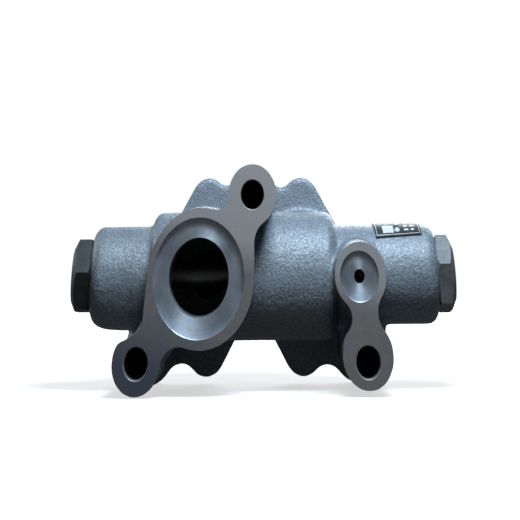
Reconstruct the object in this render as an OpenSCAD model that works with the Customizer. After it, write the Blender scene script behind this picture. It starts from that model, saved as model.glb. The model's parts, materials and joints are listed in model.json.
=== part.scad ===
// Pilot operated relief valve with a cast body, a sliding main spool and a hexagon plug at each end.
// The origin is the centre of the main port on the mounting face. X runs along the spool towards
// the pilot end, Y runs from the mounting face into the body and Z is up. Millimetres throughout.

/* [Body] */
// Distance from the mounting face to the spool axis
bore_y = 57; // [50:1:60]
// Distance from the mounting face to the rear flange faces
depth = 114; // [110:1:118]
// End of the casting on the plain side
left_end = -85; // [-90:1:-82]
// End of the casting on the pilot side
right_end = 182.6; // [180:0.2:190]
// Radius of the thick middle barrel
barrel_r = 37.5; // [36:0.5:39]
// Radius of the two end cylinders
end_r = 29; // [28:0.2:30]
// Edge radius of the casting's round ends
cast_round = 8; // [3:0.5:8]

/* [Mounting face] */
// Radius of the cast ring round the main port
ring_r = 40; // [38:0.5:42]
// Offset of the cast ring from the machined port
ring_shift = 1.5; // [0:0.1:2]
// Bolt hole radius in the three front ears, for M16
bolt_r = 8.75; // [8.2:0.05:9.5]
// Height of the upper ear's hole above the spool axis
ear_top_z = 47.5; // [44:0.5:50]
// Depth of the two lower ears' holes below the spool axis
ear_low_z = 46.5; // [44:0.5:50]
// Distance from the upper ear's hole to each lower ear's hole, along the spool
ear_pitch = 84; // [82:0.1:88]
// Distance from the main port to the upper ear's hole, along the spool
ear_top_x = 40; // [38:0.5:44]
// Radius of a long bolt boss where it reaches the rear flanges
ear_rear_r = 18.5; // [17:0.5:20]

/* [Ports] */
// Radius of the main port
port_r = 22.5; // [20:0.1:24]
// Radius of the seal recess round the main port
recess_r = 33.8; // [31:0.1:34]
// Depth of the seal recess round the main port
recess_depth = 3.5; // [2:0.1:5]
// Distance from the main port to the pilot port, along the spool
pilot_x = 120; // [117:0.5:122]
// Radius of the boss round the pilot port
pilot_boss_r = 19.2; // [18:0.1:21]
// Radius of the seal recess round the pilot port
pilot_recess_r = 14; // [12:0.1:15]
// Depth of the seal recess round the pilot port
pilot_recess_depth = 2.5; // [1.5:0.1:3]
// Radius of the pilot port's drilling
pilot_r = 4; // [3:0.1:4.5]
// Radius of the two rear ports
rear_port_r = 15; // [13:0.5:16]
// Radius of the seal recess round a rear port
rear_recess_r = 21; // [19:0.5:24]
// Depth of the seal recess round a rear port
rear_recess_depth = 2.5; // [1.5:0.1:3]
// Distance from the main port to the first rear port, along the spool
rear_x = 4; // [0:1:6]
// Distance between the two rear ports
rear_pitch = 75; // [70:1:80]
// Distance from a rear port to each of its two bolt holes
rear_ear_z = 44.5; // [43:0.5:48]
// Radius of a rear flange ear
rear_ear_r = 15; // [14:0.5:17]
// Radius of a rear flange's round middle
rear_hub_r = 40; // [38:0.5:42]
// Radius of a bolt boss's end in the rear face
rear_boss_r = 20; // [19:0.5:22]
// Thickness of the rear flanges
rear_flange_t = 30; // [24:1:34]
// Radius of the tapped holes in the rear flanges, for M12
rear_tap_r = 5.1; // [5:0.1:5.3]
// Depth of the tapped holes in the rear flanges
rear_tap_depth = 26; // [20:1:28]

/* [Spool] */
// Radius of the spool bore
spool_bore_r = 13; // [12:0.1:14]
// Radial gap between the spool and its bore
spool_gap = 0.03; // [0.02:0.01:0.08]
// Radius of the spool's stem
stem_r = 8.3; // [7:0.1:10]
// Travel of the spool from shut to fully open
spool_travel = 8; // [6:0.5:8]
// Radius of the cored galleries round the spool
gallery_r = 27; // [25:0.5:28]

/* [Plugs] */
// Width across the flats of both hexagon plugs
hex_af = 41; // [38:1:46]
// Radius of the plug threads, M33
thread_r = 16.5; // [16:0.5:17]
// Angle of the left plug's front corner above the spool axis
left_hex_turn = 6; // [0:1:59]
// Angle of the right plug's front corner above the spool axis
right_hex_turn = 15; // [0:1:59]

/* [Nameplate] */
// Length of the nameplate along the spool
plate_w = 36; // [30:1:44]
// Height of the nameplate round the cylinder
plate_h = 21; // [14:1:24]
// Thickness of the nameplate
plate_t = 1; // [0.6:0.1:1.5]

/* [Hidden] */
$fn = 96;
eps = 0.01;

// Round stretches of the outlines, each as [centre as [x, z], radius]
ring = [[ring_shift, 0], ring_r];
top_ear = [[ear_top_x, ear_top_z], 18.5];
left_ear = [[ear_top_x - ear_pitch, -ear_low_z], 17.4];
right_hole = [ear_top_x + ear_pitch, -ear_low_z];
right_ear = [right_hole + [0, 3.5], 18.4];
pilot_boss = [[pilot_x + 0.8, 0.5], pilot_boss_r];
rear_ports = [for (i = [0, 1]) [rear_x + i * rear_pitch, 0]];
spot_r = 15;
ear_t = 18;
arc_step = 7.5;
hole_bevel = 0.8;

// Stations along the spool axis
barrel_x = [-38.5, 104];
gallery_half = 20;
return_gallery = [62, 94];
seat_x = 110;
seat_t = 8;
cage_end = 152;
thread_start_l = -60;
thread_start_r = 158;
cage_bore_r = 15;
drain_groove = [116.8, 124.2];
spool_left = -57;
spool_right = 101.7;
land_left = -22;
land_right = 56;
spring_bore_r = 9;
spring_bore_x = 66;
screw_r = 4;
screw_len = 8;
axial_r = 2.5;

// Pilot stage, from its seat to the shims in the right plug
fit_gap = 0.05;
pilot_seat_r = 2.5;
poppet_slope = 30;
poppet_r = 5;
poppet_stem_r = 3.5;
poppet_shoulder_x = 126;
cap_t = 1.5;
plug_bore_r = 8.5;
plug_bore_x = 170;
shim_t = 0.8;
shim_count = 3;
button_x = 164.4;

// Plugs and their seals
collar_t = 0.8;
collar_r = 20.3;
left_face = -100;
right_face = 196.5;
seal_recess_r = 18.6;
seal_wire_r = 1.1;
seal_r = 15.7;
undercut_r = 14.4;
undercut_len = 4.4;

// Nameplate, on the pilot side's cylinder
plate_x = 153.4;
plate_tilt = 20;
plate_turn = 4;
pin_turn = 9.5;
pin_r = 1.2;

cast_grey = [0.27, 0.29, 0.32];
steel = [0.62, 0.62, 0.63];
black_steel = [0.16, 0.16, 0.17];
zinc_steel = [0.52, 0.53, 0.55];
rubber_black = [0.05, 0.05, 0.05];
plate_grey = [0.22, 0.22, 0.23];

// A straight cylinder or cone along Y, from y0 on, about [x, z]
module y_round(c, y0, h, r1, r2) {
    translate([c[0], y0, c[1]]) rotate([-90, 0, 0]) cylinder(h = h, r1 = r1, r2 = r2);
}

// An outline in X and Z extruded along Y, from y0 on
module y_slab(y0, h) {
    translate([0, y0 + h, 0]) rotate([90, 0, 0]) linear_extrude(h) children();
}

// Moves its children from the origin to a station on the spool axis
module on_axis(x) {
    translate([x, bore_y, 0]) children();
}

// A straight cylinder along the spool axis, from x0 to x1
module x_round(x0, x1, r) {
    on_axis(x0) rotate([0, 90, 0]) cylinder(h = x1 - x0, r = r);
}

// A profile of [radius, station] turned about the spool axis
module x_turned() {
    on_axis(0) rotate([0, 90, 0]) rotate_extrude() children();
}

// An outline is a loop of round stretches, counterclockwise, joined by their common tangents.
// A stretch is [centre, radius], and a negative radius is a concave one.
function outward(a, b) =
    let (d = norm(b[0] - a[0]), u = (b[0] - a[0]) / d, k = max(-1, min(1, (a[1] - b[1]) / d)))
    u * k + [u[1], -u[0]] * sqrt(1 - k * k);

function wrap(angle) = angle - 360 * floor(angle / 360);

function stretch(before, it, after) =
    let (n0 = outward(before, it), n1 = outward(it, after),
        a0 = atan2(n0[1], n0[0]), a1 = atan2(n1[1], n1[0]),
        sweep = it[1] > 0 ? wrap(a1 - a0) : -wrap(a0 - a1),
        count = ceil(abs(sweep) / arc_step))
    [for (i = [0:count]) let (a = a0 + sweep * i / count) it[0] + it[1] * [cos(a), sin(a)]];

function outline(loop) =
    let (n = len(loop),
        points = [for (i = [0:n - 1]) each stretch(loop[(i + n - 1) % n], loop[i], loop[(i + 1) % n])],
        count = len(points))
    [for (i = [0:count - 1]) if (norm(points[i] - points[(i + 1) % count]) > eps) points[i]];

// The fillet of radius r that touches discs a and b on the right of the way from a to b
function fillet(a, b, r) =
    let (d = norm(b[0] - a[0]), u = (b[0] - a[0]) / d,
        along = ((a[1] + r) * (a[1] + r) - (b[1] + r) * (b[1] + r) + d * d) / (2 * d),
        across = sqrt((a[1] + r) * (a[1] + r) - along * along))
    [a[0] + u * along + [u[1], -u[0]] * across, -r];

// Outline of the main port's ring with its upper and lower left ears
module ring_outline() {
    neck = [ring[0] + [ring_r - 10, 17.5], 10];
    hip = [left_ear[0] + [-1.4, 22.36], -5];
    polygon(outline([left_ear, fillet(left_ear, ring, 13), ring, neck, fillet(neck, top_ear, 14),
        top_ear, fillet(top_ear, ring, 8), ring, hip]));
}

// Outline of the pilot port's boss with the lower right ear
module pilot_outline() {
    polygon(outline([pilot_boss, fillet(pilot_boss, right_ear, 10), right_ear,
        fillet(right_ear, pilot_boss, 12.5)]));
}

// Outline of the rear face: two flanges, each with two ears, and the ends of three long bosses
module rear_outline() {
    hub_l = [rear_ports[0], rear_hub_r];
    hub_r = [rear_ports[1], rear_hub_r];
    ears = [for (port = rear_ports, side = [1, -1]) [port + [0, side * rear_ear_z], rear_ear_r]];
    boss_t = [top_ear[0] + [0, -2], rear_boss_r];
    boss_l = [left_ear[0] + [3, 2], rear_boss_r];
    boss_r = [right_ear[0] + [-3, 0], rear_boss_r];
    polygon(outline([
        ears[0], hub_l, fillet(hub_l, boss_l, 8), boss_l, fillet(boss_l, ears[1], 13),
        ears[1], hub_l, fillet(hub_l, hub_r, 5), hub_r, ears[3],
        fillet(ears[3], boss_r, 13), boss_r, fillet(boss_r, hub_r, 8), hub_r,
        ears[2], fillet(ears[2], boss_t, 8), boss_t, fillet(boss_t, ears[0], 8)]));
}

// A flat web between two centres on the mounting face, running back to the barrel
module ear_web(a, b, half) {
    along = (b - a) / norm(b - a);
    across = [along[1], -along[0]] * half;
    y_slab(ear_t / 2, bore_y - ear_t / 2) polygon([a - across, a + across, b + across, b - across]);
}

// One long bolt boss, drafted wider towards the rear, with the web that flares into the barrel
module bolt_boss(ear, root_x) {
    y_round(ear[0], 1, depth - 4, ear[1] - 1.2, ear_rear_r - 0.6);
    y_slab(bore_y - 12, depth - bore_y + 5)
        polygon(outline([[ear[0], ear[1] - 2.5], [[root_x, 0], ear[1] + 3]]));
}

// A round casting along the spool axis with both of its edges rounded
module cast_barrel(x0, x1, r, e) {
    on_axis(x0) rotate([0, 90, 0]) rotate_extrude() {
        square([r - e, x1 - x0]);
        translate([0, e]) square([r, x1 - x0 - 2 * e]);
        for (s = [e, x1 - x0 - e]) translate([r - e, s]) circle(e);
    }
}

module casting() {
    cast_barrel(left_end, right_end, end_r, cast_round);
    cast_barrel(barrel_x[0], barrel_x[1], barrel_r, 8);
    y_slab(0, ear_t) ring_outline();
    y_slab(0, ear_t) pilot_outline();
    y_slab(depth - rear_flange_t, rear_flange_t) rear_outline();
    y_round(ring[0], 1, bore_y - 1, ring_r - 0.6, ring_r + 1.5);
    y_round(pilot_boss[0], 1, bore_y - 1, pilot_boss_r - 0.6, pilot_boss_r + 2);
    ear_web(ring[0], top_ear[0], 13);
    ear_web(ring[0], left_ear[0], 14);
    ear_web(pilot_boss[0], right_ear[0], 8);
    bolt_boss(top_ear, ear_top_x);
    bolt_boss(left_ear, left_ear[0][0] + 3);
    bolt_boss(right_ear, right_ear[0][0] - 2);
    for (port = rear_ports) y_round(port, bore_y, depth - bore_y - 3, rear_hub_r - 3, rear_hub_r - 0.6);
}

// Half section of the bevelled recess for a plug's seal, which opens at station x
module seal_recess(x, inward) {
    bevel = seal_recess_r - thread_r + 0.9;
    polygon([[0, x - inward], [seal_recess_r, x - inward], [seal_recess_r, x],
        [seal_recess_r - bevel, x + inward * bevel], [0, x + inward * bevel]]);
}

// Places its children on the nameplate's middle, with Z pointing out of the cylinder
module plate_frame() {
    on_axis(plate_x) rotate([plate_tilt, 0, 0]) rotate([0, 0, plate_turn]) children();
}

// Places its children on the axis of each nameplate pin, with Z pointing out of the cylinder
module at_pins() {
    for (side = [-1, 1]) on_axis(plate_x) rotate([plate_tilt + side * pin_turn, 0, 0]) children();
}

// Everything that is cored or machined out of the casting
module body_bores() {
    x_round(left_end - 1, thread_start_l, thread_r);
    x_round(thread_start_l - 1, seat_x + 1, spool_bore_r);
    x_round(seat_x, thread_start_r + 1, cage_bore_r);
    x_round(thread_start_r, right_end + 1, thread_r);
    x_round(-gallery_half, gallery_half, gallery_r);
    x_round(return_gallery[0], return_gallery[1], gallery_r);
    x_round(drain_groove[0], drain_groove[1], cage_bore_r + 2);
    x_turned() seal_recess(left_end, 1);
    x_turned() seal_recess(right_end, -1);
    at_pins() translate([0, 0, end_r - 6]) cylinder(h = 8, r = pin_r);
    y_round([0, 0], -1, bore_y + 1, port_r, port_r);
    y_round([0, 0], -1, recess_depth + 1, recess_r, recess_r);
    y_round([pilot_x, 0], -1, bore_y + 1, pilot_r, pilot_r);
    y_round([pilot_x, 0], -1, pilot_recess_depth + 1, pilot_recess_r, pilot_recess_r);
    for (hole = [top_ear[0], left_ear[0], right_hole]) {
        y_round(hole, -1, depth + 2, bolt_r, bolt_r);
        y_round(hole, -1, 1 + 2 * hole_bevel, bolt_r + 1 + hole_bevel, bolt_r - hole_bevel);
        y_round(hole, depth - 2, 3, spot_r, spot_r);
    }
    for (port = rear_ports) {
        y_round(port, bore_y, depth - bore_y + 1, rear_port_r, rear_port_r);
        y_round(port, depth - rear_recess_depth, rear_recess_depth + 1, rear_recess_r, rear_recess_r);
        for (side = [-1, 1])
            y_round(port + [0, side * rear_ear_z], depth - rear_tap_depth, rear_tap_depth + 1,
                rear_tap_r, rear_tap_r);
    }
}

module valve_body() {
    color(cast_grey) difference() {
        casting();
        body_bores();
    }
}

// A hexagon along the spool axis with bevelled corners, bevelled most at its outer end
module hexagon(inner_x, outer_x, turn) {
    corner_r = hex_af / sqrt(3);
    reach_r = corner_r + 1;
    inner_r = 0.54 * hex_af;
    outer_r = 0.39 * hex_af;
    slope = tan(30) * sign(outer_x - inner_x);
    intersection() {
        on_axis(min(inner_x, outer_x)) rotate([-turn, 0, 0]) rotate([0, 90, 0]) rotate([0, 0, 90])
            linear_extrude(abs(outer_x - inner_x)) circle(corner_r, $fn = 6);
        x_turned() polygon([[0, inner_x], [inner_r, inner_x],
            [reach_r, inner_x + (reach_r - inner_r) * slope],
            [reach_r, outer_x - (reach_r - outer_r) * slope], [outer_r, outer_x], [0, outer_x]]);
    }
}

// Half section of a plug's collar, seal undercut and thread, from x0 inwards to x1, then its nose
function shank(x0, x1, inward, nose) =
    let (thread = thread_r - 0.1)
    concat([[0, x0 - inward * (collar_t + 1)], [collar_r, x0 - inward * (collar_t + 1)], [collar_r, x0],
        [undercut_r, x0], [undercut_r, x0 + inward * (undercut_len - 1)],
        [thread, x0 + inward * undercut_len], [thread, x1 - inward], [thread - 1, x1]], nose);

module left_plug() {
    nose_x = spool_left - 0.3;
    shank_x = thread_start_l - 2;
    color(black_steel) {
        hexagon(left_end - collar_t, left_face, left_hex_turn);
        x_turned() polygon(shank(left_end, shank_x, 1, [[7, shank_x], [7, nose_x], [0, nose_x]]));
    }
}

module right_plug() {
    nose_r = cage_bore_r - 0.15;
    nose_x = cage_end + fit_gap;
    shank_x = thread_start_r + 0.5;
    color(zinc_steel) {
        hexagon(right_end + collar_t, right_face, right_hex_turn);
        x_turned() polygon(shank(right_end, shank_x, -1, [[nose_r, shank_x], [nose_r, nose_x],
            [plug_bore_r, nose_x], [plug_bore_r, plug_bore_x], [0, plug_bore_x]]));
    }
}

// A rubber ring round the spool axis
module seal_ring(x, r, wire) {
    color(rubber_black) x_turned() translate([r, x]) circle(wire);
}

module left_plug_seal() {
    seal_ring(left_end + seal_wire_r + fit_gap, seal_r, seal_wire_r);
}

module right_plug_seal() {
    seal_ring(right_end - seal_wire_r - fit_gap, seal_r, seal_wire_r);
}

// Half section of the spool: plain land on the left, stem, then the metering land
module spool_section() {
    r = spool_bore_r - spool_gap;
    groove = 0.5;
    difference() {
        polygon([[0, spool_left], [r - 1, spool_left], [r, spool_left + 1], [r, land_left],
            [stem_r, land_left], [stem_r, land_right], [r, land_right],
            [r, spool_right - 0.8], [r - 0.8, spool_right], [0, spool_right]]);
        for (x = [-50, -43, -36, -29, 97.5])
            translate([r - groove, x]) square([groove + 1, 1]);
    }
}

module main_spool() {
    notch_r = 2.2;
    color(steel) difference() {
        x_turned() spool_section();
        x_round(spool_left - 1, spool_left + screw_len, screw_r);
        x_round(spool_left, spring_bore_x, axial_r);
        x_round(spring_bore_x - screw_len, spring_bore_x + 1, screw_r);
        x_round(spring_bore_x, spool_right + 1, spring_bore_r);
        on_axis(0) cylinder(h = 2 * stem_r + 2, r = axial_r, center = true);
        for (turn = [45:90:315])
            on_axis(land_right) rotate([turn, 0, 0])
                translate([0, 0, stem_r]) cylinder(h = spool_bore_r, r = notch_r);
    }
}

// A headless screw with a fine hole through it and a slot at its outer end
module orifice_screw(x, outer) {
    len = screw_len - 1.6;
    color(steel) difference() {
        x_round(x, x + len, screw_r - fit_gap);
        x_round(x - 1, x + len + 1, 0.6);
        on_axis(outer > 0 ? x + len - 1.2 : x - 1) translate([0, -0.6, -screw_r])
            cube([2.2, 1.2, 2 * screw_r]);
    }
}

module damping_orifice() {
    orifice_screw(spool_left + 0.4, -1);
}

module pilot_orifice() {
    orifice_screw(spring_bore_x - screw_len + 1.5, 1);
}

module pilot_filter() {
    color(steel) x_round(spring_bore_x - screw_len + 0.1, spring_bore_x - screw_len + 1.4,
        screw_r - fit_gap);
}

// Height of a coil's wire after t of its turns, with one closed turn at each end
function coil_height(t, turns, length, wire) =
    let (closed = 2.04 * wire, low = wire + closed, high = length - wire - closed)
    t < 1 ? wire + closed * t :
    t > turns - 1 ? length - wire - closed * (turns - t) :
    low + (high - low) * (t - 1) / (turns - 2);

// A round wire wound into a compression spring, from z = 0 to z = length
module coil_spring(length, r, wire, turns, steps = 20, sides = 8) {
    count = turns * steps;
    points = [for (i = [0:count], j = [0:sides - 1])
        let (a = 360 * i / steps, b = 360 * j / sides, reach = r + wire * cos(b))
        [reach * cos(a), reach * sin(a),
            coil_height(i / steps, turns, length, wire) + wire * sin(b)]];
    skin = [for (i = [0:count - 1], j = [0:sides - 1])
        let (k = (j + 1) % sides)
        [i * sides + j, i * sides + k, (i + 1) * sides + k, (i + 1) * sides + j]];
    start = [for (j = [sides - 1:-1:0]) j];
    end = [for (j = [0:sides - 1]) count * sides + j];
    polyhedron(points, concat([start], skin, [end]));
}

module main_spring() {
    color(steel) on_axis(spring_bore_x + fit_gap) rotate([0, 90, 0])
        coil_spring(seat_x - spring_bore_x, 7.2, 1.2, 9);
}

module pilot_seat() {
    r = cage_bore_r - fit_gap;
    x0 = seat_x + fit_gap;
    x1 = seat_x + seat_t;
    color(steel) x_turned() difference() {
        polygon([[pilot_seat_r, x0], [r - 0.8, x0], [r, x0 + 0.8], [r, x1],
            [pilot_seat_r + 1, x1], [pilot_seat_r, x1 - 1]]);
        translate([12.6, x0 + 2.4]) square([r, 2.6]);
    }
}

module pilot_seat_seal() {
    seal_ring(seat_x + fit_gap + 3.7, 13.8, 1.15);
}

module pilot_cage() {
    color(steel) difference() {
        x_round(seat_x + seat_t + fit_gap, cage_end, cage_bore_r - fit_gap);
        x_round(seat_x, cage_end + 1, plug_bore_r);
        for (turn = [0, 90])
            on_axis(seat_x + seat_t + 3.4) rotate([turn, 0, 0])
                cylinder(h = 2 * cage_bore_r + 2, r = 2.2, center = true);
    }
}

module pilot_poppet() {
    edge_x = seat_x + seat_t - 1 + fit_gap;
    tip_x = edge_x - pilot_seat_r / tan(poppet_slope);
    color(steel) x_turned() polygon([[0, tip_x], [poppet_r, tip_x + poppet_r / tan(poppet_slope)],
        [poppet_r, poppet_shoulder_x], [poppet_stem_r, poppet_shoulder_x],
        [poppet_stem_r, poppet_shoulder_x + 7.5], [poppet_stem_r - 0.6, poppet_shoulder_x + 8],
        [0, poppet_shoulder_x + 8]]);
}

module poppet_spring_cap() {
    color(steel) x_turned() translate([poppet_stem_r + fit_gap, poppet_shoulder_x])
        square([3.9, cap_t]);
}

module pilot_spring() {
    start = poppet_shoulder_x + cap_t;
    color(steel) on_axis(start + fit_gap) rotate([0, 90, 0])
        coil_spring(button_x - start - 2 * fit_gap, 5.3, 0.9, 11, 16, 8);
}

// Disc that the pilot spring pushes on, with a nose inside the spring
module spring_button() {
    r = plug_bore_r - 0.2;
    color(steel) x_turned() polygon([[0, button_x - 4], [3.2, button_x - 4], [3.8, button_x - 3],
        [3.8, button_x], [r, button_x], [r, button_x + 3], [0, button_x + 3]]);
}

module shims() {
    color(steel) for (i = [1:shim_count])
        x_round(plug_bore_x - i * (shim_t + 0.03), plug_bore_x - i * (shim_t + 0.03) + shim_t,
            plug_bore_r - 0.3);
}

module nameplate() {
    color(plate_grey) difference() {
        intersection() {
            difference() {
                x_round(left_end, right_end, end_r + plate_t);
                x_round(left_end - 1, right_end + 1, end_r + fit_gap);
            }
            plate_frame() translate([-plate_w / 2, -plate_h / 2, 0]) cube([plate_w, plate_h, 60]);
        }
        at_pins() translate([0, 0, end_r - 1]) cylinder(h = 4, r = pin_r);
    }
}

module nameplate_pins() {
    color(steel) at_pins() {
        translate([0, 0, end_r - 5]) cylinder(h = 5 + plate_t, r = pin_r - fit_gap);
        translate([0, 0, end_r + plate_t]) cylinder(h = 0.8, r1 = 2.2, r2 = 1.5);
    }
}

valve_body();
left_plug();
left_plug_seal();
right_plug();
right_plug_seal();
main_spool();
damping_orifice();
pilot_orifice();
pilot_filter();
main_spring();
pilot_seat();
pilot_seat_seal();
pilot_cage();
pilot_poppet();
poppet_spring_cap();
pilot_spring();
spring_button();
shims();
nameplate();
nameplate_pins();
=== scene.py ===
import json
from math import cos, pi, radians, sin, sqrt

import bmesh
import bpy
from mathutils import Matrix, Vector, noise


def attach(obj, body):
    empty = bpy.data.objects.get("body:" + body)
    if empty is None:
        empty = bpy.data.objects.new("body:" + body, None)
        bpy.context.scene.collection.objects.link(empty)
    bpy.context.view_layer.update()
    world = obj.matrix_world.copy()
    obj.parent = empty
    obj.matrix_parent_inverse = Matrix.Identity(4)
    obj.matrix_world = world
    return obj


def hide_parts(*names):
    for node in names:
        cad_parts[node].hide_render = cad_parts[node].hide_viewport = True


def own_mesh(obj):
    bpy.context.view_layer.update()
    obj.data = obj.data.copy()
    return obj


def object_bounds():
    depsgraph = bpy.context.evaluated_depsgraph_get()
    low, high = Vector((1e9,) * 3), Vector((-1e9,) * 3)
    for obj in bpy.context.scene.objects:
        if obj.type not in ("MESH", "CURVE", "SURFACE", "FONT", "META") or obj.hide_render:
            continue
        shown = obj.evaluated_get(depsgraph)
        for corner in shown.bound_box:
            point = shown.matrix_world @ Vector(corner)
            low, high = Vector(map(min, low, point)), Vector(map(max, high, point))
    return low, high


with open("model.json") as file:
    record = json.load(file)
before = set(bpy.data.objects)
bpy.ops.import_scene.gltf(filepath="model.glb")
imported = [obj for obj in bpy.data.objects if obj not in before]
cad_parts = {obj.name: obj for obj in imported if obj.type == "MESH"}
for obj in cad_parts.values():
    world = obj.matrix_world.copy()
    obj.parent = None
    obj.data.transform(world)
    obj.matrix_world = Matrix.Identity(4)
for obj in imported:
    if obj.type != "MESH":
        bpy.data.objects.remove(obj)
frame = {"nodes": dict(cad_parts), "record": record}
cad_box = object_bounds()
scene = bpy.context.scene
record = frame["record"]
mounts = {mount["name"]: mount for mount in record["mounts"]}
MM = 0.001

# Places that the record gives, in metres. X runs along the long bore, Y into the body and Z up.
DEPTH = mounts["rear_face"]["pos_m"][1]
AXIS_Y = DEPTH / 2
PILOT_X = mounts["pilot_port_recess"]["pos_m"][0]
EAR_HOLES = [mounts[name]["pos_m"] for name in
             ("upper_ear_hole", "lower_left_ear_hole", "lower_right_ear_hole")]
REAR_PORTS = [mounts[name]["pos_m"] for name in ("pressure_port_recess", "return_port_recess")]
TAP_REACH = mounts["pressure_flange_bolts"]["dims"]["spacing_y_mm"] * MM / 2
TAPS = [(port[0], side * TAP_REACH) for port in REAR_PORTS for side in (1, -1)]

# Sizes of the holes that the record doesn't give
PORT_R = 22.5 * MM
REAR_PORT_R = 15 * MM
PILOT_R = 4 * MM
SPOT_FACE_R = 15 * MM
SPOT_FACE_DEPTH = 2 * MM
TAP_DEPTH = 26 * MM
BEVEL = 0.5 * MM

# The long bore: where it ends, where its stretches meet, and their radii. Each gallery and the
# groove is given as its radius and its two ends.
LEFT_END = -85 * MM
LEFT_THREAD_END = -60 * MM
SEAT_X = 110 * MM
RIGHT_THREAD_END = 158 * MM
RIGHT_END = 182.6 * MM
THREAD_R = 16.5 * MM
SPOOL_BORE_R = 13 * MM
CAGE_BORE_R = 15 * MM
GALLERY_R = 27 * MM
GROOVE_R = CAGE_BORE_R + 2 * MM
GALLERIES = ((GALLERY_R, -20 * MM, 20 * MM), (GALLERY_R, 62 * MM, 94 * MM),
             (GROOVE_R, 116.8 * MM, 124.2 * MM))
SEAL_CONE_R = 18.6 * MM
SEAL_CONE_EXTRA = 0.9 * MM
END_CUTTER_R = 30 * MM
END_CUTTER_DEPTH = 3 * MM

# How far a cut goes past a face, how far two cuts overlap, and a distance beyond the whole body
OVERRUN = 4 * MM
OVERLAP = 1 * MM
FAR = 0.3

# The fillings that close the openings: each one's radius, and how far the blind ones go in
MAIN_FILLING = (34 * MM, 40 * MM)
PILOT_FILLING = (15 * MM, 30 * MM)
REAR_FILLING = (22 * MM, 12 * MM)
TAP_FILLING = (6.5 * MM, 30 * MM)
BORE_FILLING = (19.5 * MM, 15 * MM)
EAR_FILLING_R = 11 * MM
SPOT_FACE_FILLING_R = SPOT_FACE_R + 0.5 * MM

# The cast skin: how near a face's vertices are to it, how much is left on the ends to be machined
# off, and the scale per metre and the height in millimetres of each noise in its relief
FACE_TOLERANCE = 0.01 * MM
END_STOCK = 1.5 * MM
VOXEL = 1.1 * MM
SMOOTH_FACTOR = 0.5
SMOOTH_STEPS = 24
RELIEF = ((60, 0.16), (260, 0.12), (520, 0.06))
WEB_TUCK = 9 * MM
UNDERSIDE_DROP = 2.6 * MM
SHARP_ANGLE = radians(40)

# How many corners the circles of a turned solid have
TURN_STEPS = 96

# The places of the factor and the two colours among a colour mix's inputs, and of its result
MIX_FACTOR, MIX_A, MIX_B, MIX_RESULT = 0, 6, 7, 2


# Helpers for meshes


def add_object(name, data):
    obj = bpy.data.objects.new(name, data)
    scene.collection.objects.link(obj)
    return obj


def mesh_object(name, verts, faces):
    mesh = bpy.data.meshes.new(name)
    mesh.from_pydata(verts, [], faces)
    mesh.validate()
    return add_object(name, mesh)


def cutter(verts, faces):
    """A closed mesh object whose faces all look outwards."""
    obj = mesh_object("cut", verts, faces)
    work = bmesh.new()
    work.from_mesh(obj.data)
    bmesh.ops.recalc_face_normals(work, faces=work.faces)
    work.to_mesh(obj.data)
    work.free()
    return obj


def remove(obj):
    mesh = obj.data
    bpy.data.objects.remove(obj)
    bpy.data.meshes.remove(mesh)


def apply_modifiers(obj):
    bpy.context.view_layer.update()
    graph = bpy.context.evaluated_depsgraph_get()
    made = bpy.data.meshes.new_from_object(obj.evaluated_get(graph), depsgraph=graph)
    old = obj.data
    obj.modifiers.clear()
    obj.data = made
    bpy.data.meshes.remove(old)


def joined(objects):
    """All the objects as one mesh, with nothing welded."""
    work = bmesh.new()
    for obj in objects:
        work.from_mesh(obj.data)
    mesh = bpy.data.meshes.new(objects[0].name)
    work.to_mesh(mesh)
    work.free()
    for obj in objects:
        remove(obj)
    return add_object("joined", mesh)


def circle(r, steps):
    return [(r * cos(2 * pi * i / steps), r * sin(2 * pi * i / steps)) for i in range(steps)]


def rod(r, low, high):
    """The profile of a plain rod."""
    return [(0, low), (r, low), (r, high), (0, high)]


def turned(profile):
    """A solid turned about Z from (radius, height) points, whose first and last radius is 0."""
    verts = []
    rings = []
    for r, h in profile:
        ring = circle(r, TURN_STEPS) if r else [(0, 0)]
        rings.append(range(len(verts), len(verts) + len(ring)))
        verts += [(a, b, h) for a, b in ring]
    faces = []
    for low, high in zip(rings, rings[1:]):
        for i in range(TURN_STEPS):
            j = (i + 1) % TURN_STEPS
            if len(low) == 1:
                faces.append((low[0], high[i], high[j]))
            elif len(high) == 1:
                faces.append((low[i], high[0], low[j]))
            else:
                faces.append((low[i], high[i], high[j], low[j]))
    return cutter(verts, faces)


def x_cut(profile):
    """A turned solid about the long bore's axis."""
    obj = turned(profile)
    obj.data.transform(Matrix.Translation((0, AXIS_Y, 0)) @ Matrix.Rotation(pi / 2, 4, "Y"))
    return obj


def y_cut(x, z, r, y0, y1, bevel=0):
    """A rod along Y from y0 to y1. With a bevel it widens towards the front face, where y is 0."""
    profile = rod(r, y0, y1)
    if bevel:
        profile = [(0, -OVERRUN), (r + bevel + OVERRUN, -OVERRUN), (r, bevel), (r, y1), (0, y1)]
    obj = turned(profile)
    obj.data.transform(Matrix.Translation((x, 0, z)) @ Matrix.Rotation(-pi / 2, 4, "X"))
    return obj


def block(lo, hi):
    verts = [(x, y, z) for x in (lo[0], hi[0]) for y in (lo[1], hi[1]) for z in (lo[2], hi[2])]
    faces = [(0, 1, 3, 2), (4, 6, 7, 5), (0, 4, 5, 1), (2, 3, 7, 6), (0, 2, 6, 4), (1, 5, 7, 3)]
    return cutter(verts, faces)


def cut_away(obj, tool):
    """Takes the tool's space out of the object. The faces that this leaves get its material."""
    change = obj.modifiers.new("cut", "BOOLEAN")
    change.operation = "DIFFERENCE"
    change.solver = "MANIFOLD"
    change.material_mode = "TRANSFER"
    change.object = tool
    apply_modifiers(obj)
    remove(tool)


def give(obj, material):
    obj.data.materials.clear()
    obj.data.materials.append(material)
    return obj


# Helpers for materials


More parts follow.
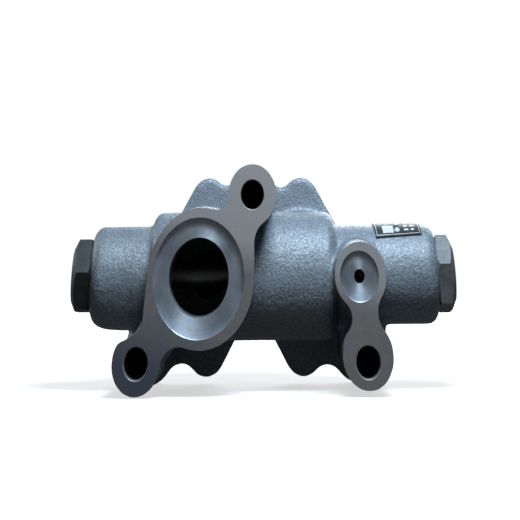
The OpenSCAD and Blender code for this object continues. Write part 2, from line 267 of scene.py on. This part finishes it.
class Nodes:
    """Makes the nodes of a tree. A value is a number, a colour or another node's output."""

    def __init__(self, tree):
        self.tree = tree

    def node(self, kind, **settings):
        made = self.tree.nodes.new(kind)
        for key, value in settings.items():
            setattr(made, key, value)
        return made

    def put(self, value, socket):
        if isinstance(value, (int, float)):
            socket.default_value = value
        elif isinstance(value, tuple):
            socket.default_value = (*value, 1)
        else:
            self.tree.links.new(value, socket)

    def math(self, operation, *values):
        made = self.node("ShaderNodeMath", operation=operation)
        for value, socket in zip(values, made.inputs):
            self.put(value, socket)
        return made.outputs["Value"]

    def blend(self, a, share, b):
        """The share of a, and b for the rest."""
        return self.math("ADD", self.math("MULTIPLY", a, share),
                         self.math("MULTIPLY", b, 1 - share))

    def remap(self, value, before, after):
        """The value carried from the range before to the range after, and held inside it."""
        made = self.node("ShaderNodeMapRange", clamp=True)
        names = ("Value", "From Min", "From Max", "To Min", "To Max")
        for name, number in zip(names, (value, *before, *after)):
            self.put(number, made.inputs[name])
        return made.outputs["Result"]

    def ramp(self, value, stops):
        """The colour between the stops, each given as (value, colour)."""
        made = self.node("ShaderNodeValToRGB")
        self.put(value, made.inputs["Fac"])
        for _ in range(len(stops) - 2):
            made.color_ramp.elements.new(0.5)
        for element, (place, colour) in zip(made.color_ramp.elements, stops):
            element.position = place
            element.color = (*colour, 1)
        return made.outputs["Color"]

    def mix(self, factor, a, b):
        """Colour a where the factor is 0, and b where it is 1."""
        made = self.node("ShaderNodeMix", data_type="RGBA")
        for value, index in ((factor, MIX_FACTOR), (a, MIX_A), (b, MIX_B)):
            self.put(value, made.inputs[index])
        return made.outputs[MIX_RESULT]

    def output_mix(self, factor, a, b, output):
        """Sends shader a to the output where the factor is 0, and b where it is 1."""
        made = self.node("ShaderNodeMixShader")
        for value, socket in zip((factor, a, b), made.inputs):
            self.put(value, socket)
        self.put(made.outputs[0], self.tree.nodes[output].inputs["Surface"])


class Shader(Nodes):
    """The nodes of a new material, whose textures are fixed to the object."""

    def __init__(self, name):
        self.material = bpy.data.materials.new(name)
        self.material.use_nodes = True
        super().__init__(self.material.node_tree)
        self.surface = self.tree.nodes["Principled BSDF"]
        self.place = self.node("ShaderNodeTexCoord").outputs["Object"]

    def set(self, values):
        """Puts each value into the surface's socket of that name."""
        for name, value in values.items():
            self.put(value, self.surface.inputs[name])

    def noise(self, scale, detail, rough, stretch=(1, 1, 1)):
        """A noise whose scale is per metre, multiplied along each axis by the stretch."""
        made = self.node("ShaderNodeTexNoise")
        made.inputs["Scale"].default_value = scale
        made.inputs["Detail"].default_value = detail
        made.inputs["Roughness"].default_value = rough
        turn = self.node("ShaderNodeMapping")
        turn.inputs["Scale"].default_value = stretch
        self.put(self.place, turn.inputs["Vector"])
        self.put(turn.outputs["Vector"], made.inputs["Vector"])
        return made.outputs["Fac"]

    def bump(self, height, distance, under=None):
        """A relief as high as the distance, on top of the one under it."""
        made = self.node("ShaderNodeBump")
        made.inputs["Strength"].default_value = 1
        made.inputs["Distance"].default_value = distance
        self.put(height, made.inputs["Height"])
        if under is not None:
            self.put(under, made.inputs["Normal"])
        return made.outputs["Normal"]

    def finish(self, colour, rough, normal, metallic, specular=0.5):
        self.set({"Base Color": colour, "Roughness": rough, "Normal": normal,
                  "Metallic": metallic, "Specular IOR Level": specular})
        return self.material


# Materials


def cast_material():
    """Sand cast iron: a sand relief, with painted shade in its hollows and in its pitting, and
    painted glints on its raised points, which are partly bare metal.
    """
    hollow_shade, lower = (0.165, 0.192, 0.222), (0.215, 0.252, 0.294)
    upper, bare_tip_glint = (0.262, 0.307, 0.357), (0.35, 0.40, 0.455)
    pit_shade = (0.07, 0.08, 0.092)
    s = Shader("cast_iron")
    sand = s.noise(620, 2, 0.6)
    fine = s.noise(1500, 1, 0.5)
    cloud = s.noise(45, 3, 0.6)
    # Darker in the hollows of the relief and lighter on its raised points: painted shade, and
    # painted glints on metal that is partly bare.
    grain = s.ramp(s.blend(sand, 0.75, cloud),
                   [(0.36, hollow_shade), (0.47, lower), (0.57, upper), (0.68, bare_tip_glint)])
    # Sparse dark spots: painted shade standing in for small pitting.
    pit_shade_mask = s.remap(s.noise(300, 2, 0.55), (0.66, 0.73), (0.0, 0.65))
    rough = s.remap(sand, (0.4, 0.62), (0.54, 0.44))
    relief = s.bump(sand, 0.45 * MM)
    normal = s.bump(fine, 0.1 * MM, under=relief)
    return s.finish(s.mix(pit_shade_mask, grain, pit_shade), rough, normal, metallic=0.15, specular=0.7)


def milled_material():
    """Dull milled iron: faint cutter marks, warm and cool stains, a few pale nicks, painted shade
    towards the lower left and a painted highlight above.
    """
    warm, cool, worn = (0.225, 0.202, 0.192), (0.182, 0.18, 0.198), (0.30, 0.285, 0.275)
    nick, shade_dark, highlight_pale = (0.5, 0.5, 0.5), (0.095, 0.104, 0.13), (0.6, 0.585, 0.59)
    s = Shader("milled_iron")
    cloud = s.noise(90, 4, 0.65)
    stain = s.remap(s.noise(22, 2, 0.5), (0.4, 0.6), (0.0, 1.0))
    wear = s.remap(cloud, (0.35, 0.7), (0.0, 0.6))
    nicks = s.remap(s.noise(330, 1, 0.5, stretch=(1, 1, 0.6)), (0.73, 0.77), (0.0, 1.0))
    iron = s.mix(nicks, s.mix(wear, s.mix(stain, warm, cool), worn), nick)

    # Painted shade darkens the faces towards their lower left corner, and a painted highlight
    # lightens their upper part
    light_gradient_axis = (0.25, 0, 1)
    slope = s.node("ShaderNodeVectorMath", operation="DOT_PRODUCT")
    slope.inputs[1].default_value = light_gradient_axis
    s.put(s.place, slope.inputs[0])
    height = slope.outputs["Value"]
    unshaded = s.remap(height, (-60 * MM, -28 * MM), (0.0, 1.0))
    bright = s.remap(height, (10 * MM, 30 * MM), (0.0, 0.52))
    colour = s.mix(bright, s.mix(unshaded, shade_dark, iron), highlight_pale)

    rough = s.remap(cloud, (0.3, 0.7), (0.5, 0.38))
    marks = s.noise(260, 2, 0.5, stretch=(1, 1, 9))
    return s.finish(colour, rough, s.bump(marks, 0.02 * MM), metallic=0.4)


def turned_material(name, x):
    """Iron turned about a line along Y at x and at z = 0. Fine rings spread its gloss across."""
    dark, light = (0.33, 0.375, 0.435), (0.50, 0.565, 0.645)
    s = Shader(name)
    split = s.node("ShaderNodeSeparateXYZ")
    s.put(s.place, split.inputs[0])
    dx = s.math("SUBTRACT", split.outputs["X"], x)
    dz = split.outputs["Z"]
    outwards = s.node("ShaderNodeCombineXYZ")
    s.put(dx, outwards.inputs["X"])
    s.put(dz, outwards.inputs["Z"])
    s.set({"Tangent": outwards.outputs[0], "Anisotropic": 0.75})

    radius = s.math("SQRT", s.math("ADD", s.math("MULTIPLY", dx, dx), s.math("MULTIPLY", dz, dz)))
    rings = s.node("ShaderNodeTexNoise", noise_dimensions="1D")
    rings.inputs["Scale"].default_value = 900
    rings.inputs["Detail"].default_value = 3
    s.put(radius, rings.inputs["W"])
    ring = rings.outputs["Fac"]
    cloud = s.noise(60, 3, 0.6)
    colour = s.ramp(s.blend(ring, 0.25, cloud), [(0.38, dark), (0.62, light)])
    rough = s.remap(cloud, (0.3, 0.7), (0.42, 0.52))
    return s.finish(colour, rough, s.bump(ring, 0.02 * MM), metallic=0.8)


def plain_material(name, dark, light, roughness, metallic=0.9):
    """Metal or rubber that varies between two colours and, in its specks, two roughnesses."""
    s = Shader(name)
    cloud = s.noise(90, 3, 0.6)
    speck = s.noise(500, 2, 0.5)
    colour = s.ramp(s.blend(cloud, 0.6, speck), [(0.35, dark), (0.65, light)])
    rough = s.remap(speck, (0.3, 0.7), roughness)
    return s.finish(colour, rough, s.bump(speck, 0.03 * MM), metallic)


CAST = cast_material()
MILLED = milled_material()
BORED = plain_material("bored_iron", (0.2, 0.205, 0.21), (0.34, 0.35, 0.36), (0.42, 0.56), 0.5)
TURNED = turned_material("turned_iron", 0)
TURNED_SMALL = turned_material("turned_iron_small", PILOT_X)
BLACK_STEEL = plain_material("black_steel", (0.02, 0.023, 0.026), (0.055, 0.062, 0.07),
                             (0.5, 0.66), 0.2)
ZINC_STEEL = plain_material("zinc_steel", (0.15, 0.155, 0.16), (0.25, 0.26, 0.27),
                            (0.5, 0.64), 0.5)
GROUND_STEEL = plain_material("ground_steel", (0.34, 0.34, 0.35), (0.46, 0.46, 0.47), (0.3, 0.42))
# Ground steel painted darker for the spool: painted shade inside the bore.
SHADED_SPOOL_STEEL = plain_material("shaded_ground_steel", (0.07, 0.068, 0.066), (0.13, 0.126, 0.122),
                             (0.34, 0.46))
RUBBER = plain_material("seal_rubber", (0.012, 0.012, 0.012), (0.03, 0.03, 0.03),
                        (0.5, 0.7), 0.0)
PLATE = plain_material("plate_metal", (0.035, 0.037, 0.037), (0.07, 0.072, 0.072),
                       (0.4, 0.55), 0.3)
PALE_METAL = plain_material("pale_metal", (0.66, 0.70, 0.715), (0.84, 0.88, 0.90),
                            (0.36, 0.46), 0.1)
BY_SLOT = {"cast_iron": CAST, "black_steel": BLACK_STEEL, "zinc_steel": ZINC_STEEL,
           "ground_steel": GROUND_STEEL, "seal_rubber": RUBBER, "plate_metal": PLATE}
BY_NODE = {"main_spool": SHADED_SPOOL_STEEL, "nameplate_pins": PALE_METAL}


# The cast body: a smoothed, grainy skin, machined again with crisp edges


def fillings():
    """Solids that close every opening, so that only the outside of the casting is left."""
    front, rear = -OVERRUN, DEPTH + OVERRUN
    made = [y_cut(x, 0, r, front, reach)
            for x, (r, reach) in ((0, MAIN_FILLING), (PILOT_X, PILOT_FILLING))]
    for x, _, z in EAR_HOLES:
        made.append(y_cut(x, z, EAR_FILLING_R, front, rear))
        made.append(y_cut(x, z, SPOT_FACE_FILLING_R, DEPTH - OVERRUN, rear))
    r, reach = REAR_FILLING
    made += [y_cut(x, z, r, DEPTH - reach, rear) for x, _, z in REAR_PORTS]
    r, reach = TAP_FILLING
    made += [y_cut(x, z, r, DEPTH - reach, rear) for x, z in TAPS]
    r, reach = BORE_FILLING
    made.append(x_cut(rod(r, LEFT_END - END_STOCK, LEFT_END + reach)))
    made.append(x_cut(rod(r, RIGHT_END - reach, RIGHT_END + END_STOCK)))
    return made


def ease(value, low, high):
    """0 at low and 1 at high, or the other way round where high is lower, and smooth between."""
    t = min(1, max(0, (value - low) / (high - low)))
    return t * t * (3 - 2 * t)


def web_tuck(p):
    """How far the lower left web goes in at p. Its flank is narrowest just under the cylinder."""
    x, y, z = p / MM
    beside = ease(x, -46, -54) * ease(x, -74, -64)
    below = ease(z, -46, -38) * ease(z, -22, -28)
    behind = ease(y, 18, 30) * ease(y, 108, 90)
    return WEB_TUCK * beside * below * behind


def underside_drop(p):
    """How far the left cylinder's underside comes down at p, which it does towards the web."""
    x, _, z = p / MM
    along = ease(x, -84, -66) * ease(x, -40, -50)
    under = ease(z, -10, -26) * ease(z, -37, -31)
    return UNDERSIDE_DROP * along * under


def cast_skin():
    """The outside of the casting, which stands proud of every face that is machined later."""
    blank = add_object("blank", frame["nodes"]["valve_body"].data.copy())
    for vert in blank.data.vertices:
        co = vert.co
        if co.y < FACE_TOLERANCE:
            co.y = -OVERRUN
        elif co.y > DEPTH - FACE_TOLERANCE:
            co.y = DEPTH + OVERRUN
        if co.x < LEFT_END + FACE_TOLERANCE:
            co.x = LEFT_END - END_STOCK
        elif co.x > RIGHT_END - FACE_TOLERANCE:
            co.x = RIGHT_END + END_STOCK
    skin = joined([blank] + fillings())
    remesh = skin.modifiers.new("remesh", "REMESH")
    remesh.mode = "VOXEL"
    remesh.voxel_size = VOXEL
    smooth = skin.modifiers.new("smooth", "SMOOTH")
    smooth.factor = SMOOTH_FACTOR
    smooth.iterations = SMOOTH_STEPS
    apply_modifiers(skin)
    for vert in skin.data.vertices:
        p = vert.co.copy()
        vert.co.x += web_tuck(p)
        vert.co.z -= underside_drop(p)
    for vert, normal in zip(skin.data.vertices, skin.data.vertex_normals):
        p = vert.co
        lift = sum(height * noise.noise(p * scale) for scale, height in RELIEF)
        vert.co = p + Vector(normal.vector) * lift * MM
    return give(skin, CAST)


def bore_profiles():
    """The profile of each stretch of the long bore."""
    cone = SEAL_CONE_R - THREAD_R + SEAL_CONE_EXTRA
    for end, inwards in ((LEFT_END, 1), (RIGHT_END, -1)):
        outside, inside = end - inwards * OVERRUN, end + inwards * cone
        yield [(0, outside), (SEAL_CONE_R, outside), (SEAL_CONE_R, end),
               (SEAL_CONE_R - cone, inside), (0, inside)]
    yield rod(THREAD_R, LEFT_END - OVERLAP, LEFT_THREAD_END)
    yield rod(SPOOL_BORE_R, LEFT_THREAD_END - OVERLAP, SEAT_X + OVERLAP)
    yield rod(CAGE_BORE_R, SEAT_X, RIGHT_THREAD_END + OVERLAP)
    yield rod(THREAD_R, RIGHT_THREAD_END, RIGHT_END + OVERLAP)
    for gallery in GALLERIES:
        yield rod(*gallery)


def round_size(name):
    """The radius and length that the record gives for a round mount, in metres."""
    dims = mounts[name]["dims"]
    return dims["r_mm"] * MM, dims["length_mm"] * MM


def machining():
    """Every machined or bored space, each as (solid, material of the faces that it leaves)."""
    main_r, main_depth = round_size("main_port_recess")
    pilot_r, pilot_depth = round_size("pilot_port_recess")
    rear_r, rear_depth = round_size("pressure_port_recess")
    bolt_r, _ = round_size("upper_ear_hole")
    tap_r = mounts["pressure_flange_bolts"]["dims"]["hole_r_mm"] * MM
    middle = AXIS_Y + OVERLAP
    beyond = DEPTH + OVERRUN + OVERLAP
    made = [(block((-FAR, -FAR, -FAR), (FAR, 0, FAR)), MILLED),
            (block((-FAR, DEPTH, -FAR), (FAR, FAR, FAR)), MILLED),
            (y_cut(0, 0, main_r, 0, main_depth, BEVEL), TURNED),
            (y_cut(0, 0, PORT_R, 0, middle), BORED),
            (y_cut(PILOT_X, 0, pilot_r, 0, pilot_depth, BEVEL), TURNED_SMALL),
            (y_cut(PILOT_X, 0, PILOT_R, 0, middle), BORED)]
    for x, _, z in EAR_HOLES:
        made.append((y_cut(x, z, bolt_r, 0, beyond, BEVEL), BORED))
        made.append((y_cut(x, z, SPOT_FACE_R, DEPTH - SPOT_FACE_DEPTH, beyond), MILLED))
    for x, _, z in REAR_PORTS:
        made.append((y_cut(x, z, REAR_PORT_R, AXIS_Y, beyond), BORED))
        made.append((y_cut(x, z, rear_r, DEPTH - rear_depth, beyond), MILLED))
    made += [(y_cut(x, z, tap_r, DEPTH - TAP_DEPTH, beyond), BORED) for x, z in TAPS]
    made += [(x_cut(profile), BORED) for profile in bore_profiles()]
    made.append((x_cut(rod(END_CUTTER_R, LEFT_END - END_CUTTER_DEPTH, LEFT_END)), MILLED))
    made.append((x_cut(rod(END_CUTTER_R, RIGHT_END, RIGHT_END + END_CUTTER_DEPTH)), MILLED))
    return made


def cast_body():
    body = cast_skin()
    body.name = body.data.name = "cast_body"
    for tool, material in machining():
        cut_away(body, give(tool, material))
    for face in body.data.polygons:
        face.use_smooth = True
    body.data.set_sharp_from_angle(angle=SHARP_ANGLE)
    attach(body, "housing")
    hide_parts("valve_body")


cast_body()

for part in record["subparts"]:
    material = BY_NODE.get(part["node"], BY_SLOT[part["material_slot"]])
    for place in frame["nodes"][part["node"]].material_slots:
        place.material = material


# The springs, each carried by its joint's child


def coil(node, joint):
    """The CAD spring again, carried as a whole by the joint's child."""
    spring = add_object(node + "_coil", frame["nodes"][node].data.copy())
    spring.data.name = spring.name
    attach(spring, joint["child"])
    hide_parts(node)
    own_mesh(spring)


for joint in record["behaviour"]["joints"]:
    for spring in joint["deforming_nodes"]:
        coil(spring["node"], joint)


# The nameplate's pale print, bent round the cylinder as the plate is

PLATE_X = 153.4 * MM
PLATE_AROUND = radians(20)
PLATE_SKEW = radians(4)
PLATE_AT = Matrix.Translation((PLATE_X, AXIS_Y, 0)) @ Matrix.Rotation(PLATE_AROUND, 4, "X")
PLATE_TURN = Matrix.Rotation(PLATE_SKEW, 4, "Z")
PLATE_FACE_R = 30 * MM
PRINT_TOP = 0.06 * MM
PRINT_FOOT = -0.2 * MM

# Two opposite corners of every field, and the size of a field's cells, in millimetres
BORDER = [(-17, -9.5, 17, -9.1), (-17, 9.1, 17, 9.5), (-17, -9, -16.6, 9), (16.6, -9, 17, 9)]
PANEL = (-11.8, -7.6, -3.2, 1.2)
SMALL_FIELDS = [(5, -1.2, 8, 1), (10, -1.2, 14, 1), (5, -6, 8.5, -4), (10.5, -6, 13, -4)]
CELL_U, CELL_V = 1.5, 0.8


def on_plate(u, v, lift):
    """The point at u along the plate and v across it, in millimetres, lift above its face."""
    flat = PLATE_TURN @ Vector((u, v, 0)) * MM
    r = PLATE_FACE_R + lift
    return PLATE_AT @ Vector((flat.x, flat.y, sqrt(r * r - flat.y * flat.y)))


def plate_field(u0, v0, u1, v1):
    """A raised field between two corners, as one closed solid whose foot is inside the plate."""
    cols = max(1, round((u1 - u0) / CELL_U))
    rows = max(1, round((v1 - v0) / CELL_V))
    verts = [on_plate(u0 + (u1 - u0) * i / cols, v0 + (v1 - v0) * j / rows, lift)
             for lift in (PRINT_FOOT, PRINT_TOP) for j in range(rows + 1) for i in range(cols + 1)]
    line = cols + 1
    layer = (rows + 1) * line
    rim = [i for i in range(cols)]
    rim += [cols + j * line for j in range(rows)]
    rim += [layer - 1 - i for i in range(cols)]
    rim += [(rows - j) * line for j in range(rows)]
    faces = [(a, b, b + layer, a + layer) for a, b in zip(rim, rim[1:] + rim[:1])]
    for start in (0, layer):
        for j in range(rows):
            for i in range(cols):
                a = start + j * line + i
                quad = (a, a + 1, a + line + 1, a + line)
                faces.append(quad if start else quad[::-1])
    return mesh_object("plate_field", verts, faces)


def plate_print():
    print_piece = joined([plate_field(*corners) for corners in [*BORDER, PANEL, *SMALL_FIELDS]])
    print_piece.name = print_piece.data.name = "nameplate_print"
    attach(print_piece, "housing")
    give(print_piece, PALE_METAL)


plate_print()


# Stage: the white background, the floor, the painted shade behind the holes, and the lights

# How much of the white background each kind of ray sees, and how bright the world is for the rest
SEEN = (("Is Camera Ray", 1.0), ("Is Transmission Ray", 1.0), ("Is Glossy Ray", 0.13))
WORLD_LIGHT = 0.02
WHITE = (1, 1, 1)

# The floor's glow grows to that of the background from the first to the second distance in metres.
# The camera sees a pale floor, and the light that it throws back is that of a dim one.
FLOOR_Z = cad_box[0].z
FLOOR_HALF = 8.0
FLOOR_GLOW = 0.62
FLOOR_FADE = (0.25, 0.7)
FLOOR_PALE = (0.5, 0.5, 0.5)
FLOOR_DIM = (0.045, 0.042, 0.039)

# Dark discs just behind the rear openings are painted shade, so that nothing light shows through
# the holes. From behind they are clear.
BACKING_GAP = 0.4 * MM
HOLE_SHADE_DARK = (0.03, 0.022, 0.016)
EAR_BACKING_R = SPOT_FACE_R - 0.5 * MM
PORT_BACKING_R = 20 * MM
BACKING_STEPS = 48

# Each lamp's place, width and height in metres, power in watts and colour, all aimed at one point
LAMP_AIM = (0.05, 0.04, 0)
LAMPS = {"key_light": ((0.19, -0.29, 0.6), 0.3, 0.16, 6.1, (0.69, 0.86, 1.0)),
         "front_light": ((0.06, -0.26, 0.35), 0.22, 0.14, 0.4, (1.0, 0.97, 0.95)),
         "rear_light": ((0.3, 1.3, 0.45), 0.8, 0.8, 13, (0.86, 0.94, 1.0)),
         "left_light": ((-1.0, 0.6, 0.35), 0.5, 0.5, 4, (0.86, 0.94, 1.0))}


def background_share(nodes):
    """How much of the white background a ray sees: none if it is light falling on the object."""
    path = nodes.node("ShaderNodeLightPath")
    share = 0.0
    for ray, amount in SEEN:
        share = nodes.math("MAXIMUM", share, nodes.math("MULTIPLY", path.outputs[ray], amount))
    return share


def floor_material():
    """Near the object its glow leaves room for the shadow, and further out it is pure white."""
    s = Shader("floor")
    seen = s.node("ShaderNodeLightPath").outputs["Is Camera Ray"]
    distance = s.node("ShaderNodeVectorMath", operation="LENGTH")
    s.put(s.place, distance.inputs[0])
    glow = s.remap(distance.outputs["Value"], FLOOR_FADE, (FLOOR_GLOW, 1.0))
    s.set({"Base Color": s.mix(seen, FLOOR_DIM, FLOOR_PALE), "Roughness": 0.9,
           "Specular IOR Level": 0.1, "Emission Color": WHITE,
           "Emission Strength": s.math("MULTIPLY", glow, background_share(s))})
    return s.material


def hole_shade_material():
    """Painted shade: dark and diffuse from the front, and clear from behind."""
    s = Shader("painted_hole_shade")
    s.set({"Base Color": HOLE_SHADE_DARK, "Roughness": 0.9})
    behind = s.node("ShaderNodeNewGeometry").outputs["Backfacing"]
    clear = s.node("ShaderNodeBsdfTransparent")
    s.output_mix(behind, s.surface.outputs[0], clear.outputs[0], "Material Output")
    return s.material


def add_world():
    scene.world = bpy.data.worlds.new("studio")
    scene.world.use_nodes = True
    nodes = Nodes(scene.world.node_tree)
    dim = nodes.tree.nodes["Background"]
    white = nodes.node("ShaderNodeBackground")
    for background, strength in ((dim, WORLD_LIGHT), (white, 1)):
        nodes.put(WHITE, background.inputs["Color"])
        nodes.put(strength, background.inputs["Strength"])
    nodes.output_mix(background_share(nodes), dim.outputs[0], white.outputs[0], "World Output")


def add_lamp(name, place, width, height, power, colour):
    lamp = bpy.data.lights.new(name, "AREA")
    lamp.shape = "RECTANGLE"
    lamp.size, lamp.size_y = width, height
    lamp.energy = power
    lamp.color = colour
    obj = add_object(name, lamp)
    obj.location = place
    obj.rotation_euler = (Vector(LAMP_AIM) - Vector(place)).to_track_quat("-Z", "Y").to_euler()


corners = ((-FLOOR_HALF, -FLOOR_HALF), (FLOOR_HALF, -FLOOR_HALF),
           (FLOOR_HALF, FLOOR_HALF), (-FLOOR_HALF, FLOOR_HALF))
floor = mesh_object("floor", [(x, y, FLOOR_Z) for x, y in corners], [(0, 1, 2, 3)])
give(floor, floor_material())

hole_shade_finish = hole_shade_material()
for holes, r in ((EAR_HOLES, EAR_BACKING_R), (REAR_PORTS, PORT_BACKING_R)):
    for x, _, z in holes:
        rim = [(x + a, DEPTH + BACKING_GAP, z + b) for a, b in circle(r, BACKING_STEPS)]
        disc = mesh_object("painted_hole_shade", rim, [tuple(range(BACKING_STEPS))])
        give(disc, hole_shade_finish)

add_world()
for name, settings in LAMPS.items():
    add_lamp(name, *settings)


# The camera. The photograph is squeezed to three quarters of its width. A camera whose up
# direction leans in depth stretches the picture's height by as much, so the object keeps its real
# proportions. The angles are in radians, the focal length is in widths of the picture, and the
# sensor's width in millimetres.
CAMERA_PLACE = Vector((50.78, -1200, 29.27)) * MM
CAMERA_AIM = (-0.0040, -0.0165)
CAMERA_LEAN = -0.7014
CAMERA_CROSS = 0.0131
CAMERA_ROLL = 0.0053
CAMERA_FOCAL = 1600.1 / 520
CAMERA_RANGE = (0.1, 30)
SENSOR_WIDTH = 36

camera = add_object("camera", bpy.data.cameras.new("camera"))
rig = add_object("camera_rig", None)
scene.camera = camera
camera.data.sensor_width = SENSOR_WIDTH
camera.data.lens = SENSOR_WIDTH * CAMERA_FOCAL
camera.data.clip_start, camera.data.clip_end = CAMERA_RANGE
back = Vector((-CAMERA_AIM[0], -1, -CAMERA_AIM[1])).normalized()
up = Vector((0, sin(CAMERA_LEAN), cos(CAMERA_LEAN)))
right = Vector((cos(CAMERA_CROSS), sin(CAMERA_CROSS), 0))
axes = Matrix((right, up, back)).transposed().to_4x4()
roll = Matrix.Rotation(CAMERA_ROLL, 4, "Y")
camera.parent = rig
camera.matrix_parent_inverse = Matrix.Translation(CAMERA_PLACE) @ roll @ axes

scene.view_settings.view_transform = "Standard"
